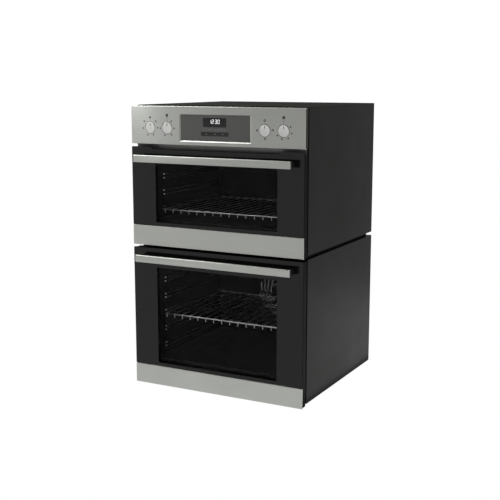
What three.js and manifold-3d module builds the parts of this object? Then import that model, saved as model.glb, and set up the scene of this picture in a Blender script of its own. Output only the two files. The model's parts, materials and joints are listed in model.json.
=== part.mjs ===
// Built-in double wall oven: a steel fascia with four retracting knobs and a clock, a low oven
// above a tall oven, and two drop-down glass doors.
// Millimetres. +X is to the right, +Y towards the back, +Z up. The origin is on the ground, midway
// between the sides and midway between the front of the handles and the rear covers.
import * as THREE from "three";
import { mergeVertices } from "three/addons/utils/BufferGeometryUtils.js";
import Module from "manifold-3d";

const wasm = await Module();
wasm.setup();

// ---- driving dimensions ------------------------------------------------------------------
// Inside the model, y = 0 is the front plane of the fascia. The doors stand DOOR_PROUD before it.
const WIDTH = 594;
const HEIGHT = 890.5;
const BODY_DEPTH = 566;
const HANDLE_PROUD = 35;
const GAP = 0.3;
const SHEET = 1.5;
const STEEL_SKIN = 1.2;

const FASCIA_BOTTOM = 771.5;
const FASCIA_TOP = 888;
const FASCIA_DEPTH = 21;
const FASCIA_RETURN = 8;
const DOOR_PROUD = 3;
const DOOR_HALF_WIDTH = 296;
const DOOR_THICKNESS = DOOR_PROUD + FASCIA_DEPTH;
const PANE = 4;
const TRIM_HEIGHT = 63;
const WINDOW_HALF_WIDTH = 210;
const WINDOW_BOTTOM = 75;

const FRAME_FRONT = 24;
const FRAME_BACK = 27;
const FRAME_HALF_WIDTH = 292.5;
const FRAME_BOTTOM = 1.5;
const FRAME_TOP = HEIGHT - SHEET - GAP;
const CASING_HALF_WIDTH = 289;
const CASING_FRONT = FRAME_BACK + GAP;
const CASING_BOTTOM = 6;
const SIDE_FRONT = 42;
const SIDE_BOTTOM = 3;
const SIDE_FLANGE = 14;
const REVEAL_X = 285;
const GROOVE = { bottom: 445, top: 457 };
const DIVIDER = { halfWidth: 279, front: 31, back: 542, cornerX: 9, cornerY: 13 };

const CAVITY_HALF_WIDTH = 238;
const MOUTH_BORDER = 14;
const CAVITY_CORNER = 6;
const WIRE_FRONT = 66;
const WIRE_BACK = 432;
const SHELF_HALF_WIDTH = 229.5;
const RUNG_PAIR = 12;

// The hinge pin, measured from the front and the bottom edge of its door.
const HINGE = { y: 10, above: 7, x: 265 };
const HANDLE_HALF_LENGTH = 268;
const HANDLE_HEIGHT = 22;
const HANDLE_DEPTH = 10;

const UPPER = {
  name: "upper",
  doorBottom: 454,
  doorTop: 763,
  windowTop: 720,
  handle: 728.25,
  recess: 7,
  floor: 535,
  ceiling: 735,
  back: 455,
  rungs: [556, 608, 660],
  shelfLevel: 0,
};
const LOWER = {
  name: "lower",
  doorBottom: 0.5,
  doorTop: 446,
  windowTop: 385,
  handle: 415.5,
  recess: 0,
  floor: 85,
  ceiling: 395,
  back: 480,
  rungs: [108, 162, 216, 270, 324],
  shelfLevel: 2,
};

const KNOB_Z = 822;
const KNOB_RADIUS = 17.5;
const KNOB_PROUD = 1;
const SPINDLE = { radius: 3, flat: 2, clearance: 0.4 };
const KNOBS = [
  { name: "lower_oven_function", x: -228 },
  { name: "lower_oven_temperature", x: -167 },
  { name: "upper_oven_function", x: 167 },
  { name: "upper_oven_temperature", x: 228 },
];
const DISPLAY = { halfWidth: 121, bottom: 785.5, top: 864, corner: 3 };
const FAN = { z: 235, guardFront: 449.7, radius: 70 };
const TERMINAL = { x: 200, halfWidth: 40, bottom: 476, top: 520 };
const BLOWER = { y: 300, z: 802, radius: 28, halfLength: 110 };

// ---- materials ---------------------------------------------------------------------------
function finish(color, roughness, metalness) {
  return new THREE.MeshStandardMaterial({ color, roughness, metalness });
}

const BRUSHED_STEEL = finish(0xa3a49e, 0.38, 0.9);
const CHROME = finish(0xc8c8c4, 0.15, 1.0);
const BLACK_PAINT = finish(0x2c2c2a, 0.55, 0.2);
const ENAMEL = finish(0x161616, 0.35, 0.1);
const BLACK_PLASTIC = finish(0x1b1b1b, 0.6, 0.0);
const GLASS = finish(0x1d1d1b, 0.08, 0.0);
const DISPLAY_GREY = finish(0x555552, 0.25, 0.0);
const KNOB_SILVER = finish(0xbfc1bd, 0.35, 0.7);
const RUBBER = finish(0x2a2a2a, 0.8, 0.0);
const ELEMENT = finish(0x4a4744, 0.5, 0.8);
const ZINC = finish(0x9a9c9b, 0.45, 0.9);

// ---- solids ------------------------------------------------------------------------------
function solid(geometry) {
  const bare = geometry.index ? geometry.clone() : mergeVertices(geometry.clone());
  bare.deleteAttribute("normal");
  bare.deleteAttribute("uv");
  const welded = mergeVertices(bare, 1e-4);
  const mesh = new wasm.Mesh({
    numProp: 3,
    vertProperties: new Float32Array(welded.attributes.position.array),
    triVerts: new Uint32Array(welded.index.array),
  });
  return new wasm.Manifold(mesh);
}

function join(...pieces) {
  return pieces.reduce((whole, piece) => whole.add(piece));
}

function cut(body, ...tools) {
  return tools.reduce((left, tool) => left.subtract(tool), body);
}

function named(name, body, material) {
  const data = body.getMesh();
  const geometry = new THREE.BufferGeometry();
  geometry.setAttribute("position", new THREE.BufferAttribute(data.vertProperties, 3));
  geometry.setIndex(new THREE.BufferAttribute(data.triVerts, 1));
  geometry.computeVertexNormals();
  const mesh = new THREE.Mesh(geometry, material);
  mesh.name = name;
  return mesh;
}

function box(x0, x1, y0, y1, z0, z1) {
  const geometry = new THREE.BoxGeometry(x1 - x0, y1 - y0, z1 - z0);
  geometry.translate((x0 + x1) / 2, (y0 + y1) / 2, (z0 + z1) / 2);
  return solid(geometry);
}

// A cylinder from one point to another.
function rod(from, to, radius, sides = 16) {
  const start = new THREE.Vector3(...from);
  const end = new THREE.Vector3(...to);
  const along = end.clone().sub(start);
  const geometry = new THREE.CylinderGeometry(radius, radius, along.length(), sides);
  const turn = new THREE.Quaternion().setFromUnitVectors(
    new THREE.Vector3(0, 1, 0),
    along.clone().normalize(),
  );
  geometry.applyQuaternion(turn);
  geometry.translate(...start.add(end).multiplyScalar(0.5).toArray());
  return solid(geometry);
}

function roundedRectangle(x0, x1, z0, z1, radius) {
  const shape = new THREE.Shape();
  shape.moveTo(x0 + radius, z0);
  shape.lineTo(x1 - radius, z0);
  shape.absarc(x1 - radius, z0 + radius, radius, -Math.PI / 2, 0, false);
  shape.lineTo(x1, z1 - radius);
  shape.absarc(x1 - radius, z1 - radius, radius, 0, Math.PI / 2, false);
  shape.lineTo(x0 + radius, z1);
  shape.absarc(x0 + radius, z1 - radius, radius, Math.PI / 2, Math.PI, false);
  shape.lineTo(x0, z0 + radius);
  shape.absarc(x0 + radius, z0 + radius, radius, Math.PI, 1.5 * Math.PI, false);
  return shape;
}

// Extrudes an outline drawn in x and z from y0 to y1.
function extrudeAlongY(shape, y0, y1, curveSegments = 4) {
  const options = { depth: y1 - y0, bevelEnabled: false, curveSegments };
  const geometry = new THREE.ExtrudeGeometry(shape, options);
  geometry.rotateX(Math.PI / 2);
  geometry.translate(0, y1, 0);
  return solid(geometry);
}

// Extrudes an outline drawn in y and z from x0 to x1.
function extrudeAlongX(shape, x0, x1, curveSegments = 6) {
  const options = { depth: x1 - x0, bevelEnabled: false, curveSegments };
  const geometry = new THREE.ExtrudeGeometry(shape, options);
  const axes = new THREE.Matrix4().makeBasis(
    new THREE.Vector3(0, 1, 0),
    new THREE.Vector3(0, 0, 1),
    new THREE.Vector3(1, 0, 0),
  );
  geometry.applyMatrix4(axes);
  geometry.translate(x0, 0, 0);
  return solid(geometry);
}

// Extrudes an outline drawn in x and y from z0 to z1.
function extrudeAlongZ(shape, z0, z1) {
  const geometry = new THREE.ExtrudeGeometry(shape, { depth: z1 - z0, bevelEnabled: false });
  geometry.translate(0, 0, z0);
  return solid(geometry);
}

function polygon(points) {
  return new THREE.Shape(points.map(([u, v]) => new THREE.Vector2(u, v)));
}

// A path through fixed points, with one extrusion step from each point to the next.
class StepPath extends THREE.Curve {
  constructor(points) {
    super();
    this.points = points;
  }
  index(t) {
    return Math.round(t * (this.points.length - 1));
  }
  getPoint(t) {
    return this.points[this.index(t)].clone();
  }
  getPointAt(t) {
    return this.getPoint(t);
  }
  getTangentAt(t) {
    const i = this.index(t);
    const before = this.points[Math.max(i - 1, 0)];
    const here = this.points[i];
    const after = this.points[Math.min(i + 1, this.points.length - 1)];
    const arriving = here.clone().sub(before).normalize();
    const leaving = after.clone().sub(here).normalize();
    return arriving.add(leaving).normalize();
  }
}

// The corner points of a route, each replaced by a few points of a round bend.
function roundCorners(corners, bendRadius, bendSteps) {
  const route = [corners[0]];
  for (let i = 1; i < corners.length - 1; i += 1) {
    const corner = corners[i];
    const back = corners[i - 1].clone().sub(corner).normalize();
    const ahead = corners[i + 1].clone().sub(corner).normalize();
    const bend = new THREE.QuadraticBezierCurve3(
      corner.clone().addScaledVector(back, bendRadius),
      corner,
      corner.clone().addScaledVector(ahead, bendRadius),
    );
    route.push(...bend.getPoints(bendSteps));
  }
  route.push(corners[corners.length - 1]);
  return route;
}

// A bent wire or tube through the corner points.
function bentRod(corners, radius, bendRadius, sides = 6, bendSteps = 3) {
  const points = corners.map((corner) => new THREE.Vector3(...corner));
  const route = roundCorners(points, bendRadius, bendSteps);
  const section = new THREE.Shape();
  section.absarc(0, 0, radius, 0, 2 * Math.PI, false);
  const geometry = new THREE.ExtrudeGeometry(section, {
    steps: route.length - 1,
    curveSegments: sides,
    extrudePath: new StepPath(route),
  });
  return solid(geometry);
}

// ---- fascia and controls -----------------------------------------------------------------
function displayOutline(grow) {
  return roundedRectangle(
    -DISPLAY.halfWidth - grow,
    DISPLAY.halfWidth + grow,
    DISPLAY.bottom - grow,
    DISPLAY.top + grow,
    DISPLAY.corner,
  );
}

function controlFascia() {
  const half = WIDTH / 2;
  let plate = join(
    box(-half, half, 0, STEEL_SKIN, FASCIA_BOTTOM, FASCIA_TOP),
    box(-half, half, 0, FASCIA_RETURN, FASCIA_TOP - STEEL_SKIN, FASCIA_TOP),
    box(-half, half, 0, FASCIA_RETURN, FASCIA_BOTTOM, FASCIA_BOTTOM + STEEL_SKIN),
    extrudeAlongY(displayOutline(STEEL_SKIN), 0, 2),
  );
  plate = cut(plate, extrudeAlongY(displayOutline(0), -1, 3));
  for (const knob of KNOBS) {
    const hole = rod([knob.x, -1, KNOB_Z], [knob.x, 3, KNOB_Z], KNOB_RADIUS + 0.8, 24);
    plate = cut(plate, hole);
  }
  return named("control_fascia", plate, BRUSHED_STEEL);
}

// The moulded carrier has a guide tube and a switch turret behind each knob.
function fasciaCarrier() {
  const half = WIDTH / 2 - 1.5;
  const bottom = FASCIA_BOTTOM + STEEL_SKIN + GAP;
  const top = FASCIA_TOP - STEEL_SKIN - GAP;
  const front = 2.5;
  const web = 2;
  let carrier = cut(
    box(-half, half, front, FASCIA_DEPTH, bottom, top),
    box(-half + web, half - web, front + web, FASCIA_DEPTH + 1, bottom + web, top - web),
    extrudeAlongY(displayOutline(STEEL_SKIN + GAP), front - 1, front + web + 1),
  );
  for (const knob of KNOBS) {
    const guide = rod([knob.x, front, KNOB_Z], [knob.x, FASCIA_DEPTH, KNOB_Z], 20.5, 16);
    const turret = box(knob.x - 20, knob.x + 20, FASCIA_DEPTH - 1, 48, KNOB_Z - 20, KNOB_Z + 20);
    const knobSpace = rod([knob.x, 0, KNOB_Z], [knob.x, 18, KNOB_Z], KNOB_RADIUS + 0.8, 18);
    const stemSpace = rod([knob.x, 17, KNOB_Z], [knob.x, 34, KNOB_Z], 7, 10);
    const spindleHole = rod([knob.x, 33, KNOB_Z], [knob.x, 49, KNOB_Z], 3.6, 8);
    carrier = cut(join(carrier, guide, turret), knobSpace, stemSpace, spindleHole);
  }
  return named("fascia_carrier", carrier, BLACK_PLASTIC);
}

function displayLens() {
  return named("display_lens", extrudeAlongY(displayOutline(-GAP), 0.8, 3.8), DISPLAY_GREY);
}

function controlBoard() {
  const clock = box(-41, 41, 4.2, 12.5, 824, 857);
  const touchPads = box(-50, 50, 4.2, 12.5, 798, 816);
  const connector = box(60, 100, 13, 22, 800, 812);
  const transformer = box(-100, -70, 13, 24, 830, 850);
  const board = join(box(-116, 116, 12, 13.6, 792, 860), clock, touchPads, connector, transformer);
  return named("control_board", board, finish(0x1f3d2a, 0.5, 0.1));
}

// The outline of a D-shaped shaft or its bore, drawn round the origin.
function keyedOutline(radius, flat) {
  const start = Math.acos(flat / radius);
  const shape = new THREE.Shape();
  shape.absarc(0, 0, radius, start, 2 * Math.PI - start, false);
  shape.closePath();
  return shape;
}

function knobGroup({ name, x }) {
  const group = new THREE.Group();
  group.position.set(x, 0, KNOB_Z);
  const { radius, flat, clearance } = SPINDLE;
  const spindle = extrudeAlongY(keyedOutline(radius, flat), 1.5, 47, 8);
  const face = -KNOB_PROUD;
  const shoulder = 16;
  const stemEnd = 30;
  const stemRadius = 6;
  const cap = new THREE.LatheGeometry(
    [
      [0, face],
      [KNOB_RADIUS - 1.2, face],
      [KNOB_RADIUS - 0.3, face + 0.4],
      [KNOB_RADIUS, face + 1.2],
      [KNOB_RADIUS, shoulder],
      [stemRadius, shoulder],
      [stemRadius, stemEnd],
      [0, stemEnd],
    ].map(([r, y]) => new THREE.Vector2(r, y)),
    20,
  );
  const boreOutline = keyedOutline(radius + clearance, flat + clearance);
  const bore = extrudeAlongY(boreOutline, 1, stemEnd + 1, 8);
  group.add(named(`${name}_spindle`, spindle, ZINC));
  group.add(named(`${name}_knob`, cut(solid(cap), bore), KNOB_SILVER));
  return group;
}

// ---- casing ------------------------------------------------------------------------------
// A folded side sheet with an inward flange along each of its four edges.
function sidePanel(name, side, bottom, top) {
  const outer = CASING_HALF_WIDTH;
  const flange = outer - SIDE_FLANGE;
  const rear = BODY_DEPTH - SHEET - GAP;
  const inside = box(
    flange - 1,
    outer - SHEET,
    SIDE_FRONT + SHEET,
    rear - SHEET,
    bottom + SHEET,
    top - SHEET,
  );
  const panel = cut(box(flange, outer, SIDE_FRONT, rear, bottom, top), inside);
  return named(name, side > 0 ? panel : panel.mirror([1, 0, 0]), BLACK_PAINT);
}

// Rows of vertical cooling slots through a sheet that lies across y.
function slotRows(columns, rows, slotWidth, slotHeight) {
  const slots = [];
  for (const x of columns) {
    for (const z of rows) {
      slots.push(box(x, x + slotWidth, BODY_DEPTH - 5, BODY_DEPTH + 5, z, z + slotHeight));
    }
  }
  return slots;
}

function evenly(first, step, count) {
  return Array.from({ length: count }, (_, i) => first + step * i);
}

function rearCover(name, bottom, top, openings) {
  const half = CASING_HALF_WIDTH;
  const sheet = box(-half, half, BODY_DEPTH - SHEET, BODY_DEPTH, bottom, top);
  return named(name, cut(sheet, ...openings), BLACK_PAINT);
}

function topCover() {
  const half = CASING_HALF_WIDTH;
  let cover = box(-half, half, CASING_FRONT, BODY_DEPTH, HEIGHT - SHEET, HEIGHT);
  for (const x of evenly(-225, 60, 8)) {
    cover = cut(cover, box(x, x + 30, 470, 476, HEIGHT - 5, HEIGHT + 5));
  }
  return named("top_cover", cover, BLACK_PAINT);
}

// The floor sheet stands on two hollow runners and is notched for the lower hinges.
function basePlate() {
  const half = CASING_HALF_WIDTH - SIDE_FLANGE - GAP;
  const rear = BODY_DEPTH - SHEET - GAP;
  let plate = box(-half, half, CASING_FRONT, rear, CASING_BOTTOM, CASING_BOTTOM + SHEET);
  for (const x of [-200, 200]) {
    const runner = box(x - 20, x + 20, 70, 520, 0, CASING_BOTTOM + 0.5);
    const hollow = box(x - 18.5, x + 18.5, 60, 530, SHEET, CASING_BOTTOM);
    plate = join(plate, cut(runner, hollow));
  }
  for (const x of [-HINGE.x, HINGE.x]) {
    plate = cut(plate, box(x - 6, x + 6, 20, 92, 0, 20));
  }
  return named("base_plate", plate, ZINC);
}

// The plan of the spacer tray: a rectangle with its two front corners cut off.
function dividerPlan(inset) {
  const half = DIVIDER.halfWidth - inset;
  const front = DIVIDER.front + inset;
  const back = DIVIDER.back - inset;
  return polygon([
    [-half + DIVIDER.cornerX, front],
    [half - DIVIDER.cornerX, front],
    [half, front + DIVIDER.cornerY],
    [half, back],
    [-half, back],
    [-half, front + DIVIDER.cornerY],
  ]);
}

// A shallow tray, open underneath, that keeps the two casings apart.
function middleDivider() {
  const bottom = GROOVE.bottom + GAP;
  const top = GROOVE.top - GAP;
  const tray = cut(
    extrudeAlongZ(dividerPlan(0), bottom, top),
    extrudeAlongZ(dividerPlan(SHEET), 0, top - SHEET),
  );
  return named("middle_divider", tray, BLACK_PAINT);
}

// The frame round both mouths, with a set-back return down each side that the side sheets meet.
function frontFrame() {
  const half = FRAME_HALF_WIDTH;
  const back = SIDE_FRONT - GAP;
  const plate = box(-half, half, FRAME_FRONT, FRAME_BACK, FRAME_BOTTOM, FRAME_TOP);
  const rightReturn = box(REVEAL_X - SHEET, REVEAL_X, FRAME_FRONT, back, FRAME_BOTTOM, FRAME_TOP);
  const leftReturn = rightReturn.mirror([1, 0, 0]);
  const controlSpace = box(-half + 10, half - 10, 20, 30, FASCIA_BOTTOM + 12, FRAME_TOP - 8);
  let frame = join(cut(plate, controlSpace), leftReturn, rightReturn);
  const mouth = CAVITY_HALF_WIDTH + MOUTH_BORDER;
  for (const oven of [UPPER, LOWER]) {
    const outline = roundedRectangle(
      -mouth,
      mouth,
      oven.floor - MOUTH_BORDER,
      oven.ceiling + MOUTH_BORDER,
      18,
    );
    frame = cut(frame, extrudeAlongY(outline, 20, 30));
    const pivot = oven.doorBottom + HINGE.above;
    for (const x of [-HINGE.x, HINGE.x]) {
      frame = cut(frame, box(x - 5.5, x + 5.5, 20, 30, pivot - 8, pivot + 8));
    }
  }
  for (const side of [-1, 1]) {
    const inner = side * (DIVIDER.halfWidth - DIVIDER.cornerX - 1);
    const outer = side * WIDTH;
    const left = Math.min(inner, outer);
    const right = Math.max(inner, outer);
    frame = cut(frame, box(left, right, 20, SIDE_FRONT, GROOVE.bottom, GROOVE.top));
  }
  return named("front_frame", frame, BLACK_PAINT);
}

// A terminal box with a cord gland below it, set in the window of the upper rear cover.
function terminalBox() {
  const { x, halfWidth, bottom, top } = TERMINAL;
  const y = BODY_DEPTH - 14;
  const block = join(
    box(x - halfWidth, x + halfWidth, BODY_DEPTH - 32, BODY_DEPTH - 1, bottom, top),
    rod([x, y, bottom + 1], [x, y, bottom - 10], 9, 16),
  );
  const cordEntry = rod([x, y, bottom + 12], [x, y, bottom - 11], 5, 16);
  return named("terminal_box", cut(block, cordEntry), BLACK_PLASTIC);
}

// ---- ovens -------------------------------------------------------------------------------
function cavity(oven) {
  const half = CAVITY_HALF_WIDTH;
  const flange = half + MOUTH_BORDER + 10;
  const border = MOUTH_BORDER + 10;
  const floor = oven.floor;
  const ceiling = oven.ceiling;
  const shell = join(
    box(-half - SHEET, half + SHEET, CASING_FRONT, oven.back + SHEET, floor - SHEET, ceiling + SHEET),
    box(-flange, flange, CASING_FRONT, CASING_FRONT + SHEET, floor - border, ceiling + border),
  );
  const inside = extrudeAlongY(
    roundedRectangle(-half, half, floor, ceiling, CAVITY_CORNER),
    0,
    oven.back,
  );
  return cut(shell, inside);
}

function upperCavity() {
  const { x, y } = lampPlace(UPPER);
  let shell = cavity(UPPER);
  shell = cut(shell, rod([x, y, UPPER.ceiling - 9], [x, y, UPPER.ceiling + 9], 21, 20));
  for (const leg of [-25, 25]) {
    shell = cut(shell, rod([leg, 440, 718], [leg, 470, 718], 4.5, 10));
  }
  return named("upper_cavity", shell, ENAMEL);
}

function lowerCavity() {
  const { x, y } = lampPlace(LOWER);
  let shell = cavity(LOWER);
  shell = cut(shell, rod([x, y, LOWER.ceiling - 9], [x, y, LOWER.ceiling + 9], 21, 20));
  shell = cut(shell, rod([0, 470, FAN.z], [0, 490, FAN.z], 12, 16));
  for (const leg of [-14, 14]) {
    shell = cut(shell, rod([leg, 470, FAN.z + 94], [leg, 490, FAN.z + 94], 4.5, 10));
  }
  return named("lower_cavity", shell, ENAMEL);
}

function gasket(oven) {
  const middle = CAVITY_HALF_WIDTH + MOUTH_BORDER / 2;
  const ring = (offset, radius) =>
    roundedRectangle(
      -middle - offset,
      middle + offset,
      oven.floor - MOUTH_BORDER / 2 - offset,
      oven.ceiling + MOUTH_BORDER / 2 + offset,
      radius,
    );
  const seal = cut(
    extrudeAlongY(ring(4, 14), FASCIA_DEPTH + 0.6, FRAME_BACK),
    extrudeAlongY(ring(-4, 8), FASCIA_DEPTH - 1, FRAME_BACK + 1),
  );
  return named(`${oven.name}_door_gasket`, seal, RUBBER);
}

function lampPlace(oven) {
  return oven === UPPER ? { x: -195, y: 400 } : { x: 150, y: 360 };
}

function lamp(oven) {
  const { x, y } = lampPlace(oven);
  const profile = [
    [0, -14],
    [12, -11],
    [20, -5],
    [24, -3],
    [24, -GAP],
    [20, -GAP],
    [20, 8],
    [16, 8],
    [16, 34],
    [0, 34],
  ];
  const points = profile.map(([r, z]) => new THREE.Vector2(r, z));
  const geometry = new THREE.LatheGeometry(points, 14);
  geometry.rotateX(Math.PI / 2);
  geometry.translate(x, y, oven.ceiling);
  return named(`${oven.name}_lamp`, solid(geometry), GLASS);
}

function grillElement() {
  const z = 718;
  const route = [
    [-25, 472, z],
    [-25, 110, z],
    [-90, 110, z],
    [-90, 370, z],
    [-175, 370, z],
    [-175, 80, z],
    [175, 80, z],
    [175, 400, z],
    [90, 400, z],
    [90, 110, z],
    [25, 110, z],
    [25, 472, z],
  ];
  return named("grill_element", bentRod(route, 3.2, 22, 4, 4), ELEMENT);
}

function ringElement() {
  const ring = new THREE.TorusGeometry(94, 3.2, 6, 30);
  ring.rotateX(Math.PI / 2);
  ring.translate(0, 466, FAN.z);
  let element = solid(ring);
  for (const x of [-14, 14]) {
    element = join(element, rod([x, 466, FAN.z + 93.5], [x, 495, FAN.z + 93.5], 3.2, 8));
  }
  return named("ring_element", element, ELEMENT);
}

// A sheet across the back of the lower oven with rings of slanted slots before the fan.
function fanGuard() {
  const half = CAVITY_HALF_WIDTH - 1;
  const front = FAN.guardFront;
  const outline = roundedRectangle(-half, half, LOWER.floor + 1, LOWER.ceiling - 1, 9);
  let guard = extrudeAlongY(outline, front, front + SHEET);
  const rings = [
    { radius: 34, count: 8, length: 15 },
    { radius: 52, count: 12, length: 16 },
    { radius: 70, count: 14, length: 17 },
  ];
  for (const { radius, count, length } of rings) {
    for (let i = 0; i < count; i += 1) {
      const slot = new THREE.BoxGeometry(length, 10, 4.5);
      slot.rotateY(Math.PI / 3);
      slot.translate(radius, front, 0);
      slot.rotateY((2 * Math.PI * i) / count);
      slot.translate(0, 0, FAN.z);
      guard = cut(guard, solid(slot));
    }
  }
  for (const [x, z] of [[-200, 120], [200, 120], [-200, 360], [200, 360]]) {
    guard = cut(guard, extrudeAlongY(roundedRectangle(x - 22, x + 22, z - 5, z + 5, 4.9), 440, 460));
  }
  return named("fan_guard", guard, ENAMEL);
}

function convectionFan() {
  const blades = 10;
  let fan = join(
    rod([0, 471, FAN.z], [0, 472.5, FAN.z], FAN.radius, 28),
    rod([0, 458, FAN.z], [0, 500, FAN.z], 4, 12),
    rod([0, 458, FAN.z], [0, 472, FAN.z], 9, 12),
  );
  for (let i = 0; i < blades; i += 1) {
    const blade = new THREE.BoxGeometry(24, 16, SHEET);
    blade.rotateY(0.5);
    blade.translate(FAN.radius - 14, 463.5, 0);
    blade.rotateY((2 * Math.PI * i) / blades);
    blade.translate(0, 0, FAN.z);
    fan = join(fan, solid(blade));
  }
  return named("convection_fan", fan, ZINC);
}

function fanMotor() {
  const motor = join(
    box(-50, 50, 482, 484, FAN.z - 22, FAN.z + 22),
    rod([0, 483, FAN.z], [0, 530, FAN.z], 31, 20),
    rod([0, 529, FAN.z], [0, 538, FAN.z], 9, 12),
  );
  const bore = rod([0, 480, FAN.z], [0, 503, FAN.z], 4.6, 12);
  return named("fan_motor", cut(motor, bore), ZINC);
}

// A cross-flow blower that pushes cooling air out under the fascia.
function coolingFanHousing() {
  const { y, z, radius, halfLength } = BLOWER;
  const inner = radius + 4;
  const outer = inner + SHEET;
  const bottom = z - outer;
  const mouth = 60;
  const scroll = new THREE.Shape();
  scroll.moveTo(mouth, bottom);
  scroll.lineTo(y, bottom);
  scroll.absarc(y, z, outer, -Math.PI / 2, Math.PI / 2, false);
  scroll.absarc(y, z, inner, Math.PI / 2, -Math.PI / 2, true);
  scroll.lineTo(mouth, bottom + SHEET);
  const end = halfLength + 3;
  let housing = join(
    extrudeAlongX(scroll, -end, end, 8),
    box(-end, end, mouth, y - inner - 4, bottom + 24, bottom + 24 + SHEET),
  );
  const cheek = polygon([
    [mouth, bottom],
    [y, bottom],
    [y + outer - 10, bottom + 10],
    [y + outer - 2, z],
    [y + outer - 10, z + outer - 10],
    [y, z + outer - 1],
    [y - inner - 5, z + 6],
    [mouth, bottom + 25],
  ]);
  for (const x of [-end, end - SHEET]) {
    housing = join(housing, extrudeAlongX(cheek, x, x + SHEET));
  }
  housing = join(housing, rod([end - 1, y, z], [end + 34, y, z], 22, 16));
  housing = cut(
    housing,
    rod([-end - 1, y, z], [-end + 3, y, z], 4.6, 12),
    rod([end - 3, y, z], [end + 14, y, z], 4.6, 12),
  );
  return named("cooling_fan_housing", housing, ZINC);
}

function coolingFanRotor() {
  const { y, z, radius, halfLength } = BLOWER;
  const blades = 12;
  let rotor = rod([-halfLength - 4, y, z], [halfLength + 12, y, z], 4, 12);
  for (const x of [-halfLength, halfLength - 2]) {
    rotor = join(rotor, rod([x, y, z], [x + 2, y, z], radius, 16));
  }
  for (let i = 0; i < blades; i += 1) {
    const blade = new THREE.BoxGeometry(2 * halfLength - 1, 6, 1);
    blade.rotateX(0.5);
    blade.translate(0, radius - 4, 0);
    blade.rotateX((2 * Math.PI * i) / blades);
    blade.translate(0, y, z);
    rotor = join(rotor, solid(blade));
  }
  return named("cooling_fan_rotor", rotor, ZINC);
}

// ---- wire work ---------------------------------------------------------------------------
// A hanging ladder: two uprights, a pair of rungs for each shelf height, and wall pegs.
function shelfSupport(oven, side) {
  const upright = side * 235.4;
  const rung = side * 232.4;
  const low = oven.rungs[0] - 8;
  const high = oven.rungs[oven.rungs.length - 1] + RUNG_PAIR + 8;
  const wires = [];
  for (const y of [WIRE_FRONT + 4, WIRE_BACK - 4]) {
    wires.push(rod([upright, y, low], [upright, y, high], 2, 6));
  }
  for (const z of oven.rungs) {
    for (const height of [z, z + RUNG_PAIR]) {
      wires.push(rod([rung, WIRE_FRONT, height], [rung, WIRE_BACK, height], 2, 5));
    }
  }
  const name = `${oven.name}_${side < 0 ? "left" : "right"}_shelf_support`;
  return named(name, join(...wires), CHROME);
}

// A wire shelf: a rectangular border and sixteen wires with their front ends turned down.
function wireShelf(oven) {
  const borderRadius = 2.5;
  const z = oven.rungs[oven.shelfLevel] + 2 + GAP + borderRadius;
  const front = WIRE_FRONT + 4;
  const back = WIRE_BACK + 6;
  const half = SHELF_HALF_WIDTH;
  const wires = [
    rod([-half, front, z], [half, front, z], borderRadius, 8),
    rod([-half, back, z], [half, back, z], borderRadius, 8),
    rod([-half, front, z], [-half, back, z], borderRadius, 8),
    rod([half, front, z], [half, back, z], borderRadius, 8),
  ];
  const count = 16;
  const pitch = 29;
  const top = z + 3.2;
  for (let i = 0; i < count; i += 1) {
    const x = (i - (count - 1) / 2) * pitch;
    const route = [
      [x, back + 1, top],
      [x, front - 3.2, top],
      [x, front - 3.2, z - 12],
    ];
    wires.push(bentRod(route, 1.5, 3, 2, 1));
  }
  return named(`${oven.name}_wire_shelf`, join(...wires), CHROME);
}

// ---- doors -------------------------------------------------------------------------------
// Door pieces are drawn with y = 0 at the front of the glass and z = 0 at the bottom edge.
function doorHeight(oven) {
  return oven.doorTop - oven.doorBottom;
}

function outerGlass(oven) {
  const half = DOOR_HALF_WIDTH;
  const top = doorHeight(oven);
  const bottom = TRIM_HEIGHT + GAP;
  const recessHalf = 217;
  const slope = 7;
  const outline = polygon([
    [-half, bottom],
    [half, bottom],
    [half, top],
    [recessHalf + slope, top],
    [recessHalf - slope, top - oven.recess],
    [-recessHalf + slope, top - oven.recess],
    [-recessHalf - slope, top],
    [-half, top],
  ]);
  const plain = roundedRectangle(-half, half, bottom, top, 0.5);
  const pane = extrudeAlongY(oven.recess > 0 ? outline : plain, 0, PANE, 1);
  return named(`${oven.name}_outer_glass`, pane, GLASS);
}

function innerGlass(oven) {
  const pane = roundedRectangle(-251.5, 251.5, 14, doorHeight(oven) - 16, 4);
  const sheet = extrudeAlongY(pane, DOOR_THICKNESS - PANE, DOOR_THICKNESS, 3);
  return named(`${oven.name}_inner_glass`, sheet, GLASS);
}

function doorTrim(oven) {
  const half = DOOR_HALF_WIDTH;
  const trim = join(
    box(-half, half, 0, STEEL_SKIN, 0, TRIM_HEIGHT),
    box(-half, half, 0, PANE, TRIM_HEIGHT - STEEL_SKIN, TRIM_HEIGHT),
    box(-half, half, 0, PANE, 0, STEEL_SKIN),
  );
  return named(`${oven.name}_door_trim`, trim, BRUSHED_STEEL);
}

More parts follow.
